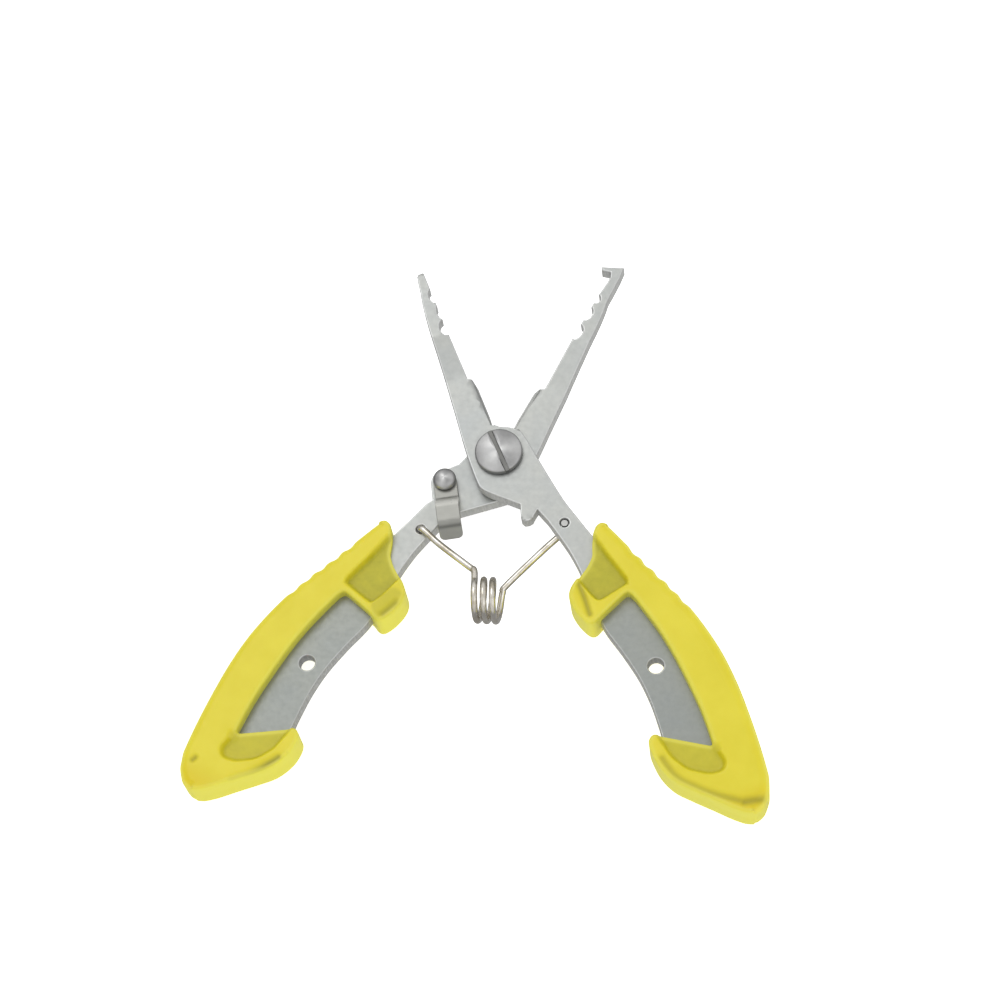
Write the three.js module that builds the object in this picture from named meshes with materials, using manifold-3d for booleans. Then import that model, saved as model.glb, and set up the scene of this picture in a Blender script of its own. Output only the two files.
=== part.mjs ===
// Fishing pliers: two flat steel halves crossing at a slotted pivot screw, moulded grips on the
// handles, a wire spring that opens them, and a riveted clasp that locks the handles shut.
// Millimetres, +Z up through the screw head, +Y from the pivot towards the jaws, +X to the right.
// The origin is on the pivot axis, on the flat back of the pivot nut.
import * as THREE from 'three';
import { mergeVertices } from 'three/addons/utils/BufferGeometryUtils.js';
import Module from 'manifold-3d';

const wasm = await Module();
wasm.setup();

// Driving dimensions
const REAR_REST = THREE.MathUtils.degToRad(-25.2);  // each half's turn from closed to rest
const FRONT_REST = THREE.MathUtils.degToRad(24.7);
const PLATE = 3.0;            // thickness of each half
const GAP = 0.3;              // play between neighbouring pieces
const PARTING = 0.15;         // each jaw's clearance from the line where the jaws meet
const NUT_HEIGHT = 2.3;
const REAR_Z = NUT_HEIGHT + GAP;                 // back face of the rear half
const FRONT_Z = REAR_Z + PLATE + GAP;            // back face of the front half
const SHEAR_Z = FRONT_Z - GAP / 2;               // plane where the two halves slide on each other
const JAW_SHIFT = (PLATE + GAP) / 2;             // how far each jaw is set over to meet the other

const NUT_RADIUS = 4.5;
const NUT_CHAMFER = 0.4;
const NUT_FLOOR = 0.8;
const NUT_FLAT = { across: 7.4, height: 1.2 };
const SCREW_HEAD_RADIUS = 4.4;
const SCREW_RIM = 0.9;        // height of the screw head's straight side
const SCREW_CROWN = 0.8;      // rise of its low dome
const SCREW_BASE = 1.1;       // the screw's end, inside the nut
const SCREW_SHOULDER = REAR_Z - 0.15;
const SCREW_SLOT = { width: 0.8, length: 12, depth: 0.5, angle: THREE.MathUtils.degToRad(27) };
const SCREW_SHANK_RADIUS = 2.5;
const SCREW_THREAD_RADIUS = 1.9;
const RUNNING = 0.12;         // radial play of a pin in its hole

const JAW_LENGTH = 41.7;      // pivot to the end of the front half's jaw
const BLADE_ROOT = 6.1;       // the cutter runs from here
const BLADE_TOP = 16.1;       // to here along the jaw
const BLADE_LAP = 1.15;       // and reaches this far past the parting line
const BEVEL_WIDTH = 0.65;     // cutter bevel seen from its own side
const BEVEL_LAND = 0.12;      // share of the thickness left square at the cutting edge
const JOGGLE = [BLADE_TOP + 1.2, BLADE_TOP + 12.2];   // the jaw is set over between these
const FRONT_NOTCHES = [       // crimping notches: centre along the jaw, half width, depth
  [29.1, 1.75, 1.2],
  [32.5, 1.4, 0.5],
  [36.3, 1.5, 0.8],
];
const REAR_NOTCHES = [
  [29.2, 1.6, 1.15],
  [33.4, 1.5, 0.95],
  [36.9, 0.95, 0.8],
];

const FRONT_WIRE_HOLE = [6.25, -17.6];
const REAR_WIRE_HOLE = [-6.3, -18.9];
const WIRE_HOLE_RADIUS = 0.9;
const FRONT_LANYARD_HOLE = [11.5, -49.7];
const REAR_LANYARD_HOLE = [-11.5, -51.2];
const LANYARD_HOLE_RADIUS = 1.45;
const RIVET = [6.85, -8.7];
const RIVET_RADIUS = 1.0;
const RIVET_HEAD_RADIUS = 2.15;
const RIVET_DOME = 1.5;
const RIVET_RIM = 0.2;
const RIVET_TAIL_RADIUS = 1.8;
const RIVET_TAIL = 1.1;
const EAR_RADIUS = 2.75;

const LATCH_ANGLE = THREE.MathUtils.degToRad(-53.5);  // its free place, beside the spring's leg
const LATCH_WIDTH = 4.3;
const LATCH_SHEET = 0.8;
const LATCH_STEP = 4.2;          // where its step up starts, from the rivet
const LATCH_FLAT = [5.8, 9.7];   // start and end of its raised part
const LATCH_HOOK = 11.3;         // end of its hook
const LATCH_CORNER = 0.7;        // cut off the hook's corners
const LATCH_BEND = 0.45;         // cut off the outside of its bends

const GRIP_WALL = 2.6;        // grip over each face of the plate
const GRIP_EDGE = 0.5;        // rounding of the grip's edges
const GRIP_SKIN = 0.9;        // grip over the plate in its sunk panels
const GRIP_FIT = 0.2;         // play between grip and plate

const WIRE_RADIUS = 0.62;
const WIRE_PLAY = 0.15;       // between the spring's legs and the faces they lie on
const COIL_RADIUS = 3.75;
const COIL_CENTRE = [-0.5, -28.0];
const COIL_PITCH = 1.66;
const COIL_START = 40;        // degrees round the coil where the left leg runs into it
const COIL_END = 1010;        // degrees round the coil where the right leg leaves it
const COIL_STEP = 24.25;
const ROUND = 48;             // sides of a turned piece
const REACH = 100;            // further than any half stretches from the pivot

const steel = { color: 0xc4c7c3, metalness: 1.0, roughness: 0.38 };
const materials = {
  plate: new THREE.MeshStandardMaterial(steel),
  turned: new THREE.MeshStandardMaterial({ color: 0xbdbdbb, metalness: 1.0, roughness: 0.25 }),
  clasp: new THREE.MeshStandardMaterial({ color: 0xaaaaa4, metalness: 1.0, roughness: 0.4 }),
  wire: new THREE.MeshStandardMaterial({ color: 0xb9b2a4, metalness: 1.0, roughness: 0.22 }),
  grip: new THREE.MeshStandardMaterial({ color: 0xe2d43c, metalness: 0.0, roughness: 0.45 }),
};

// Outline helpers: every outline is a list of [x, y] points, anticlockwise.

function arc(cx, cy, rx, ry, from, to, steps) {
  const points = [];
  for (let i = 0; i <= steps; i += 1) {
    const angle = THREE.MathUtils.degToRad(from + ((to - from) * i) / steps);
    points.push([cx + rx * Math.cos(angle), cy + ry * Math.sin(angle)]);
  }
  return points;
}

function smooth(points, steps) {
  const curve = new THREE.SplineCurve(points.map(([x, y]) => new THREE.Vector2(x, y)));
  return curve.getPoints(steps).map((p) => [p.x, p.y]);
}

function mirrored(points) {
  return points.map(([x, y]) => [-x, y]).reverse();
}

function shapeOf(points) {
  return new THREE.Shape(points.map(([x, y]) => new THREE.Vector2(x, y)));
}

function prism(points, bottom, top) {
  const settings = { depth: top - bottom, bevelEnabled: false };
  return new THREE.ExtrudeGeometry(shapeOf(points), settings).translate(0, 0, bottom);
}

function turned(profile, segments = ROUND) {
  const outline = profile.map(([radius, z]) => new THREE.Vector2(radius, z));
  return new THREE.LatheGeometry(outline, segments).rotateX(Math.PI / 2);
}

function cylinder(radius, bottom, top, [x, y] = [0, 0]) {
  const geometry = new THREE.CylinderGeometry(radius, radius, top - bottom, ROUND);
  return geometry.rotateX(Math.PI / 2).translate(x, y, (top + bottom) / 2);
}

// Solids: geometry into manifold and back.

function solid(geometry) {
  const bare = geometry.clone();
  bare.deleteAttribute('normal');
  bare.deleteAttribute('uv');
  const merged = mergeVertices(bare, 1e-4);
  return new wasm.Manifold(new wasm.Mesh({
    numProp: 3,
    vertProperties: new Float32Array(merged.attributes.position.array),
    triVerts: new Uint32Array(merged.index.array),
  }));
}

function geometryOf(manifold) {
  const mesh = manifold.getMesh();
  const geometry = new THREE.BufferGeometry();
  const positions = new Float32Array(mesh.vertProperties);
  geometry.setAttribute('position', new THREE.BufferAttribute(positions, 3));
  geometry.setIndex(new THREE.BufferAttribute(new Uint32Array(mesh.triVerts), 1));
  geometry.computeVertexNormals();
  return geometry;
}

function minus(body, ...tools) {
  return tools.reduce((rest, tool) => rest.subtract(solid(tool)), body);
}

function part(name, manifold, material) {
  const mesh = new THREE.Mesh(geometryOf(manifold), material);
  mesh.name = name;
  return mesh;
}

// A half, drawn with its jaw on the left of the parting line and its handle on the right.

const JAW_BACK = [[-2.2, 37.6], [-2.7, 35.0], [-3.15, 31.0], [-3.6, 25.0], [-3.95, 20.5],
  [-4.4, 15.5], [-4.9, 10.0], [-5.4, 5.0], [-5.7, 0.5], [-5.75, -4.2], [-5.3, -5.7], [-4.2, -7.0]];
const HANDLE_INNER = [[3.5, -15.9], [3.9, -17.6], [4.6, -20.6], [5.2, -24.0], [5.5, -28.5],
  [5.3, -34.0], [5.6, -39.5], [6.9, -45.0], [7.9, -50.5], [8.15, -55.5], [7.9, -60.0], [7.5, -64.5],
  [7.8, -68.5]];
const HANDLE_END = [[8.9, -71.6], [11.0, -74.6], [13.8, -75.8], [16.6, -74.8], [18.4, -71.5]];
const HANDLE_OUTER = [[19.2, -66.0], [19.6, -58.0], [19.1, -50.0], [17.9, -43.0], [15.8, -36.0],
  [13.2, -29.3], [11.0, -24.4], [9.9, -21.4], [8.8, -17.4], [7.9, -14.0], [7.3, -10.6], [6.7, -6.6],
  [6.1, -2.4], [5.75, 0.5]];
const SHOULDER = [[5.2, 3.1], [3.4, 4.35], [1.9, 5.1]];

function crimpingEdge(notches) {
  return notches.flatMap(([centre, halfWidth, depth]) => (
    arc(-PARTING, centre, depth, halfWidth, 270, 90, 8)
  ));
}

function jawInnerEdge(notches) {
  return [
    [0.95, BLADE_ROOT],
    [BLADE_LAP, BLADE_ROOT + 2.6],
    [BLADE_LAP, BLADE_TOP - 1.2],
    [0.7, BLADE_TOP],
    [-PARTING, BLADE_TOP + 0.5],
    ...crimpingEdge(notches),
  ];
}

function frontOutline() {
  return [
    [-PARTING, JAW_LENGTH - 0.1],
    [-0.4, JAW_LENGTH + 0.05],
    [-1.2, JAW_LENGTH],
    [-1.6, JAW_LENGTH - 0.4],
    [-1.95, 39.4],
    ...smooth(JAW_BACK, 22),
    [0.0, -11.1],
    [-0.8, -13.8],
    [-0.5, -14.5],
    [0.3, -14.75],
    [1.1, -14.6],
    [1.85, -13.9],
    [2.6, -13.3],
    ...smooth(HANDLE_INNER, 26),
    ...smooth(HANDLE_END, 10),
    ...smooth(HANDLE_OUTER, 28),
    ...SHOULDER,
    ...jawInnerEdge(FRONT_NOTCHES),
  ];
}

function rearOutline() {
  const [ex, ey] = RIVET;
  const outer = HANDLE_OUTER.filter(([, y]) => y < ey - 5);
  return mirrored([
    [-0.35, 41.0],
    [-0.3, 42.2],
    [0.1, 43.1],
    [1.85, 42.65],
    [2.15, 43.35],
    [-1.7, 45.05],
    [-1.95, 43.0],
    [-2.1, 40.5],
    ...smooth(JAW_BACK, 22),
    [2.1, -13.2],
    [2.8, -14.2],
    ...smooth(HANDLE_INNER, 26),
    ...smooth(HANDLE_END, 10),
    ...smooth(outer, 26),
    [7.3, -12.8],
    ...arc(ex, ey, EAR_RADIUS, EAR_RADIUS, -35, 62, 8),
    [6.5, -4.2],
    [6.0, -2.0],
    [5.75, 0.5],
    ...SHOULDER,
    ...jawInnerEdge(REAR_NOTCHES),
  ]);
}

// The flat sheet, set over between the cutter and the crimping notches so that the jaws meet.
function joggledSlab(bottom, shift) {
  const top = bottom + PLATE;
  const [start, end] = JOGGLE;
  const side = [
    [-REACH, bottom],
    [start, bottom],
    [end, bottom + shift],
    [REACH, bottom + shift],
    [REACH, top + shift],
    [end, top + shift],
    [start, top],
    [-REACH, top],
  ];
  return prism(side, -REACH, REACH).rotateZ(Math.PI / 2).rotateY(Math.PI / 2);
}

// The cutter's bevel, a wedge taken off the side of the plate that faces away from the other half.
function bevelWedge(side, shearFace, outerFace) {
  const thickness = outerFace - shearFace;
  const land = shearFace + thickness * BEVEL_LAND;
  const beyond = outerFace + thickness * BEVEL_LAND;
  const edge = BLADE_LAP + 0.01;
  const flank = [
    [side * edge, land],
    [side * (edge - BEVEL_WIDTH), beyond],
    [side * (edge + 1), beyond],
    [side * (edge + 1), land],
  ];
  const clockwise = THREE.ShapeUtils.isClockWise(flank.map(([x, y]) => new THREE.Vector2(x, y)));
  const outline = clockwise ? flank.reverse() : flank;
  return prism(outline, -BLADE_TOP - 0.35, 0.6 - BLADE_ROOT).rotateX(Math.PI / 2);
}

// A half: its outline cut from the sheet, with its holes and its cutter ground. The shear face is
// the one that slides on the other half.
function half(outline, side, shearFace, outerFace, shift, wireHole, lanyardHole) {
  const bottom = Math.min(shearFace, outerFace);
  const below = bottom - JAW_SHIFT - 1;
  const above = bottom + PLATE + JAW_SHIFT + 1;
  return minus(
    solid(prism(outline, below, above)).intersect(solid(joggledSlab(bottom, shift))),
    cylinder(SCREW_SHANK_RADIUS + RUNNING, below, above),
    cylinder(WIRE_HOLE_RADIUS, below, above, wireHole),
    cylinder(LANYARD_HOLE_RADIUS, below, above, lanyardHole),
    bevelWedge(side, shearFace, outerFace),
  );
}

// A grip, drawn for a handle on the right and centred on the plate's mid plane. Its window and
// panels sit a little differently on each side, by the offset it is given.

const REAR_GRIP_SET = [0, 0];
const FRONT_GRIP_SET = [-0.2, 1.2];

const GRIP_TOP = [[13.5, -22.4], [12.9, -21.2], [12.0, -20.9], [11.0, -21.3], [10.0, -22.6],
  [9.2, -24.2]];
const GRIP_LUG = [[8.5, -26.2], [6.9, -27.8], [5.0, -29.1], [3.2, -30.2], [1.9, -31.6], [1.5, -33.4],
  [1.85, -35.7], [2.5, -37.5]];
const GRIP_LUG_FOOT = [[3.2, -38.7], [4.2, -38.9], [5.3, -38.2]];
const GRIP_WINDOW = [[11.9, -36.6], [12.6, -37.8], [13.5, -41.2], [14.5, -45.6], [15.2, -50.5],
  [15.6, -56.0], [15.8, -61.0], [15.7, -65.0], [15.4, -69.1]];
const GRIP_CLIP_TOP = [[6.5, -63.3], [5.5, -63.7], [4.9, -65.1]];
const GRIP_CLIP = [[4.95, -68.0], [6.25, -71.3], [8.45, -73.9], [11.3, -76.9], [13.9, -79.7],
  [15.8, -81.4]];
const GRIP_END = [[17.6, -82.2], [19.4, -81.5], [21.1, -79.5]];
const GRIP_OUTER = [[22.2, -76.6], [22.9, -71.0], [23.4, -64.5], [23.6, -58.5], [23.3, -52.5],
  [22.4, -47.0], [21.0, -41.5], [19.3, -36.8], [17.3, -32.0], [15.6, -27.8], [14.2, -24.2]];

function moved(points, [dx, dy]) {
  return points.map(([x, y]) => [x + dx, y + dy]);
}

function gripOutline(set) {
  return [
    ...GRIP_TOP,
    ...smooth(GRIP_LUG, 14),
    ...GRIP_LUG_FOOT,
    ...smooth(moved(GRIP_WINDOW, set), 16),
    ...moved(GRIP_CLIP_TOP, set),
    ...smooth(GRIP_CLIP, 10),
    ...GRIP_END,
    ...smooth(GRIP_OUTER, 22),
  ];
}

const UPPER_PANEL = [[9.2, -23.2], [7.0, -26.4], [4.0, -28.4], [5.3, -33.4], [7.2, -35.6],
  [12.8, -34.6], [10.9, -26.6], [9.9, -23.2]];
const LOWER_PANEL = [[6.9, -63.0], [8.2, -68.4], [9.9, -71.3], [12.8, -73.6], [15.4, -74.2],
  [16.5, -72.6], [15.6, -68.0]];

function grip(handle, set) {
  const halfHeight = PLATE / 2 + GRIP_WALL;
  const body = new THREE.ExtrudeGeometry(shapeOf(gripOutline(set)), {
    depth: 2 * (halfHeight - GRIP_EDGE),
    bevelThickness: GRIP_EDGE,
    bevelSize: GRIP_EDGE,
    bevelOffset: -GRIP_EDGE,
    bevelSegments: 2,
  }).translate(0, 0, GRIP_EDGE - halfHeight);
  const slot = new THREE.ExtrudeGeometry(shapeOf(handle), {
    depth: PLATE,
    bevelThickness: GRIP_FIT,
    bevelSize: GRIP_FIT,
    bevelSegments: 1,
  }).translate(0, 0, -PLATE / 2);
  const floor = PLATE / 2 + GRIP_SKIN;
  const panels = [UPPER_PANEL, LOWER_PANEL].flatMap((panel) => [
    prism(moved(panel, set), floor, halfHeight + 1),
    prism(moved(panel, set), -halfHeight - 1, -floor),
  ]);
  return minus(solid(body), slot, ...panels);
}

// The part of a half that its grip holds, as an outline on the right.
function handleOutline() {
  const outer = HANDLE_OUTER.filter(([, y]) => y < -8);
  return [
    [4.0, -17.8],
    ...smooth(HANDLE_INNER.slice(2), 24),
    ...smooth(HANDLE_END, 10),
    ...smooth(outer, 22),
  ];
}

function pivotScrew() {
  const seat = FRONT_Z + PLATE + GAP;
  const rim = seat + SCREW_RIM;
  const crown = [];
  for (let i = 0; i <= 6; i += 1) {
    const share = 1 - i / 6;
    crown.push([SCREW_HEAD_RADIUS * share, rim + SCREW_CROWN * (1 - share ** 2)]);
  }
  const body = solid(turned([
    [0, SCREW_BASE],
    [SCREW_THREAD_RADIUS, SCREW_BASE],
    [SCREW_THREAD_RADIUS, SCREW_SHOULDER],
    [SCREW_SHANK_RADIUS, SCREW_SHOULDER],
    [SCREW_SHANK_RADIUS, seat],
    [SCREW_HEAD_RADIUS, seat],
    ...crown,
  ]));
  const { width, length, depth, angle } = SCREW_SLOT;
  const height = 2 * (SCREW_CROWN + depth);
  const slot = new THREE.BoxGeometry(width, length, height).translate(0, 0, rim + SCREW_CROWN);
  return minus(body, slot.rotateZ(angle));
}

function pivotNut() {
  const bore = SCREW_THREAD_RADIUS + RUNNING;
  const body = solid(turned([
    [0, 0],
    [NUT_RADIUS - NUT_CHAMFER, 0],
    [NUT_RADIUS, NUT_CHAMFER],
    [NUT_RADIUS, NUT_HEIGHT],
    [bore, NUT_HEIGHT],
    [bore, NUT_FLOOR],
    [0, NUT_FLOOR],
  ]));
  const { across, height } = NUT_FLAT;
  const flats = [-1, 1].map((side) => {
    const block = new THREE.BoxGeometry(NUT_RADIUS, 3 * NUT_RADIUS, 2 * height);
    return block.translate((side * (across + NUT_RADIUS)) / 2, 0, 0);
  });
  return minus(body, ...flats);
}

function latchRivet() {
  const seat = REAR_Z + PLATE + GAP + LATCH_SHEET + GAP;
  const back = REAR_Z - GAP;
  const rim = seat + RIVET_RIM;
  const dome = arc(0, rim, RIVET_HEAD_RADIUS, RIVET_DOME - RIVET_RIM, 0, 90, 6).slice(0, -1);
  const tailEdge = back - RIVET_RIM;
  const tail = arc(0, tailEdge, RIVET_TAIL_RADIUS, RIVET_TAIL - RIVET_RIM, -90, 0, 5).slice(1);
  return solid(turned([
    [0, back - RIVET_TAIL],
    ...tail,
    [RIVET_TAIL_RADIUS, back],
    [RIVET_RADIUS, back],
    [RIVET_RADIUS, seat],
    [RIVET_HEAD_RADIUS, seat],
    ...dome,
    [0, seat + RIVET_DOME],
  ], 32));
}

// The clasp: a flat tab under the rivet head, a step up over the front half and a hook down beyond it.
function lockLatch() {
  const low = REAR_Z + PLATE + GAP;
  const high = FRONT_Z + PLATE + GAP;
  const [start, end] = LATCH_FLAT;
  const tab = -3;
  const toe = low + GAP;
  const side = [
    [tab, low],
    [LATCH_STEP, low],
    [start, high],
    [end, high],
    [LATCH_HOOK - 0.2, toe],
    [LATCH_HOOK + 0.75, toe + 0.25],
    [end + 2 * LATCH_BEND, high + LATCH_BEND],
    [end + LATCH_BEND, high + LATCH_SHEET],
    [start - LATCH_BEND, high + LATCH_SHEET],
    [LATCH_STEP - LATCH_BEND, low + LATCH_SHEET],
    [tab, low + LATCH_SHEET],
  ];
  const strip = solid(prism(side, -LATCH_WIDTH, LATCH_WIDTH).rotateX(Math.PI / 2));
  const w = LATCH_WIDTH / 2;
  const tip = LATCH_HOOK + 0.9;
  const plan = [
    ...arc(0, 0, w, w, 90, 270, 14),
    [tip - LATCH_CORNER, -w],
    [tip, LATCH_CORNER - w],
    [tip, w - LATCH_CORNER],
    [tip - LATCH_CORNER, w],
  ];
  return minus(
    strip.intersect(solid(prism(plan, low - 1, high + 3))),
    cylinder(RIVET_RADIUS + RUNNING, low - 1, high),
  );
}

// The spring's wire: out of the rear half's hole and over its face, round the coil's turns, and up
// into the front half's hole from behind.
function springRoute() {
  const placed = ([x, y], angle) => new THREE.Vector2(x, y).rotateAround(new THREE.Vector2(), angle);
  const left = placed(REAR_WIRE_HOLE, REAR_REST);
  const right = placed(FRONT_WIRE_HOLE, FRONT_REST);
  const face = REAR_Z + PLATE + WIRE_RADIUS + WIRE_PLAY;
  const back = FRONT_Z - WIRE_RADIUS - WIRE_PLAY;
  const route = [
    [left.x, left.y, REAR_Z + 0.6],
    [left.x, left.y, face - 1.0],
    [left.x + 0.2, left.y - 0.14, face - 0.25],
    [left.x + 1.0, left.y - 0.72, face],
    [left.x + 4.0, left.y - 3.3, face + 0.1],
    [-4.0, -22.1, face + 0.85],
    [-2.95, -22.95, face + 1.25],
  ];
  const [cx, cy] = COIL_CENTRE;
  for (let degrees = COIL_START; degrees <= COIL_END; degrees += COIL_STEP) {
    const angle = THREE.MathUtils.degToRad(degrees);
    const x = cx - 1.9 + (COIL_PITCH * (degrees - 90)) / 360;
    route.push([x, cy + COIL_RADIUS * Math.cos(angle), SHEAR_Z + COIL_RADIUS * Math.sin(angle)]);
  }
  route.push(
    [2.1, -25.2, 2.9],
    [2.75, -23.95, 3.3],
    [right.x - 4.0, right.y - 3.9, back - 0.8],
    [right.x - 0.9, right.y - 0.95, back - 0.1],
    [right.x - 0.15, right.y - 0.15, back + 0.3],
    [right.x, right.y, back + 1.0],
    [right.x, right.y, FRONT_Z + PLATE - 0.3],
  );
  return new THREE.CatmullRomCurve3(route.map((point) => new THREE.Vector3(...point)));
}

function returnSpring() {
  const section = arc(0, 0, WIRE_RADIUS, WIRE_RADIUS, 0, 315, 7);
  const sweep = { steps: 190, extrudePath: springRoute() };
  return solid(new THREE.ExtrudeGeometry(shapeOf(section), sweep));
}

// Assembly

const pliers = new THREE.Group();
const rear = new THREE.Group();
const front = new THREE.Group();
rear.rotation.z = REAR_REST;
front.rotation.z = FRONT_REST;
pliers.add(rear, front);

const [rivetX, rivetY] = [-RIVET[0], RIVET[1]];
const rearHalf = minus(
  half(rearOutline(), -1, REAR_Z + PLATE, REAR_Z, JAW_SHIFT, REAR_WIRE_HOLE, REAR_LANYARD_HOLE),
  cylinder(RIVET_RADIUS + RUNNING, 0, FRONT_Z, [rivetX, rivetY]),
);
const frontHalf = half(
  frontOutline(),
  1,
  FRONT_Z,
  FRONT_Z + PLATE,
  -JAW_SHIFT,
  FRONT_WIRE_HOLE,
  FRONT_LANYARD_HOLE,
);
rear.add(part('rear_half', rearHalf, materials.plate));
front.add(part('front_half', frontHalf, materials.plate));

const frontGrip = part('front_grip', grip(handleOutline(), FRONT_GRIP_SET), materials.grip);
frontGrip.position.z = FRONT_Z + PLATE / 2;
front.add(frontGrip);

const rearGrip = part('rear_grip', grip(handleOutline(), REAR_GRIP_SET), materials.grip);
rearGrip.position.z = REAR_Z + PLATE / 2;
rearGrip.rotation.y = Math.PI;
rear.add(rearGrip);

pliers.add(part('pivot_screw', pivotScrew(), materials.turned));
pliers.add(part('pivot_nut', pivotNut(), materials.turned));

const rivet = part('latch_rivet', latchRivet(), materials.turned);
rivet.position.set(rivetX, rivetY, 0);
const latch = part('lock_latch', lockLatch(), materials.clasp);
latch.position.set(rivetX, rivetY, 0);
latch.rotation.z = LATCH_ANGLE;
rear.add(rivet, latch);

pliers.add(part('return_spring', returnSpring(), materials.wire));

export default pliers;
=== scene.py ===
"""Fishing pliers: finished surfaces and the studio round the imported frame.

Sizes are millimetres, and metres on the stage. Each half is drawn shut, with its jaw on the left of
the parting line and its handle on the right, then turned out to rest.
"""

import bmesh
import bpy
import math
import numpy as np
from mathutils import Matrix, Vector
from mathutils.geometry import delaunay_2d_cdt


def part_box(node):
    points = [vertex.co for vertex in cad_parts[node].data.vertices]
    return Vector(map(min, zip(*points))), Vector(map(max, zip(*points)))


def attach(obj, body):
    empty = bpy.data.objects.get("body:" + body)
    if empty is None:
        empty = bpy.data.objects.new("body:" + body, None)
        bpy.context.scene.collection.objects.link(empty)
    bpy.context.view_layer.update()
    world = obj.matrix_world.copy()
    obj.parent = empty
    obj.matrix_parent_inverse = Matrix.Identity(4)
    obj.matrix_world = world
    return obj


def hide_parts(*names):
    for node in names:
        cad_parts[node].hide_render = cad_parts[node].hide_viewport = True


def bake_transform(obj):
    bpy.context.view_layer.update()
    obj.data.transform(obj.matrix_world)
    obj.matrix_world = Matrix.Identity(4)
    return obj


bl_info = {
    "name": "Fishing Pliers",
    "version": (1, 0, 0),
    "blender": (4, 5, 0),
    "location": "View3D > Sidebar > Pliers",
    "description": "Builds the finished pliers and their studio on the packed frame",
    "category": "Object",
}

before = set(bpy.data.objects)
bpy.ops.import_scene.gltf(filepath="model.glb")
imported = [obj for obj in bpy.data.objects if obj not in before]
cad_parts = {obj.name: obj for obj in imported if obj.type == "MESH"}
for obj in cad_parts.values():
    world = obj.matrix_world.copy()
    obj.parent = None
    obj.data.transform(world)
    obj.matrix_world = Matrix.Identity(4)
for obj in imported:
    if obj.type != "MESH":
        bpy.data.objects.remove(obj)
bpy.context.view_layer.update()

MM = 0.001
REAR, FRONT = -1, 1   # the two halves, numbered by the side of their handle
BODY = {REAR: "rear", FRONT: "front"}
REST = {REAR: math.radians(-25.2), FRONT: math.radians(24.7)}
TINY = 1e-12
ON_EDGE = 1e-6

PLATE = 3.0
PLAY = 0.3            # gap between pieces that turn on each other
REAR_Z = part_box("rear_half")[0][2] / MM
FRONT_Z = REAR_Z + PLATE + PLAY
BASE_Z = {REAR: REAR_Z, FRONT: FRONT_Z}
PARTING = 0.15
JAW_SHIFT = 1.65
JAW_LENGTH = 41.7
BLADE_ROOT = 6.1
BLADE_TOP = 16.1
BLADE_LAP = 1.15
BLADE_BEVEL = 0.65
BLADE_GROUND = PLATE * 0.85
JOGGLE = (BLADE_TOP + 1.2, BLADE_TOP + 12.2)
NOTCHES = {           # middle, half length and depth of each
    REAR: [(29.2, 1.6, 1.15), (33.4, 1.5, 0.95), (36.9, 0.95, 0.8)],
    FRONT: [(29.1, 1.75, 1.2), (32.5, 1.4, 0.5), (36.3, 1.5, 0.8)],
}
SCREW_BORE = 2.62
WIRE_HOLE = {REAR: (6.3, -18.9), FRONT: (6.25, -17.6)}
WIRE_BORE = 0.9
LANYARD_HOLE = {REAR: (11.5, -51.2), FRONT: (11.5, -49.7)}
LANYARD_BORE = 1.45
RIVET = (6.85, -8.7)
RIVET_BORE = 1.12
EAR_RADIUS = 2.75
# The face between the grip's arms takes painted shade, rising over this span.
GRIP_SHADE = (-34.5, -37.5)   # where the face between the grip's arms begins

SCREW_HEAD = 4.4
SCREW_RIM = 0.9
SCREW_CROWN = 0.8
SCREW_SHANK = 2.5
SCREW_TAIL = 1.9
SCREW_TAIL_Z = 1.1
SLOT_ANGLE = math.radians(27)
SLOT_WALL = 0.05        # how far in the slot's walls lean
SLOT_EDGE = 0.02
NUT_PLAY = 0.15
NUT_EDGE = 0.12

CLASP_ANGLE = math.radians(-53.5)
CLASP_HALF = 2.15
CLASP_CORNER = 0.6
RIVET_SHANK = 1.0
RIVET_HEAD = (2.15, 1.25)
RIVET_TAIL = (1.8, 0.9)

COIL_CENTRE = (-0.5, -28.0)
COIL_LEFT = -1.9        # X of the first turn's top, from the coil's centre
COIL_TURNS = range(40, 1011, 6)
WIRE_PLAY = 0.15

GRIP_HALF_HEIGHT = 4.1
GRIP_TIP = (-76.5, -81.0)
GRIP_SET = {REAR: (0.0, 0.0), FRONT: (-0.2, 1.2)}   # offset of the window and panels
GROOVE_DEPTH = 0.5
GROOVES = {             # line, width and strength of each
    REAR: [
        ([(2.2, -34.3), (3.3, -37.2)], 0.6, 0.6),
        ([(6.0, -69.5), (6.8, -71.0), (8.8, -74.2), (11.4, -77.2)], 0.5, 1.0),
        ([(19.3, -76.6), (19.5, -77.2)], 0.45, 0.6),
    ],
    FRONT: [
        ([(4.2, -30.8), (4.1, -34.0), (3.9, -37.0)], 0.5, 0.65),
        ([(5.9, -67.0), (7.0, -70.9), (9.4, -73.9), (12.2, -76.6), (16.0, -79.4)], 0.6, 0.5),
        ([(16.2, -79.6), (19.6, -80.4)], 0.7, 0.65),
    ],
}
LUG_CLOUD = {REAR: 0.55, FRONT: 0.0}
SCALLOPS = (-27.0, -42.0)
SCALLOP_PITCH = 3.0

FLOOR_HALF = 2.0        # metres, like the next two
FLOOR_Z = -0.0004
LIGHT_AIM = Vector((0, -0.015, 0))
ROOM_LEVELS = [(0.0, 0.42), (0.5, 0.3), (0.68, 0.85), (1.0, 1.0)]   # from below to above


# Outlines

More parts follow.
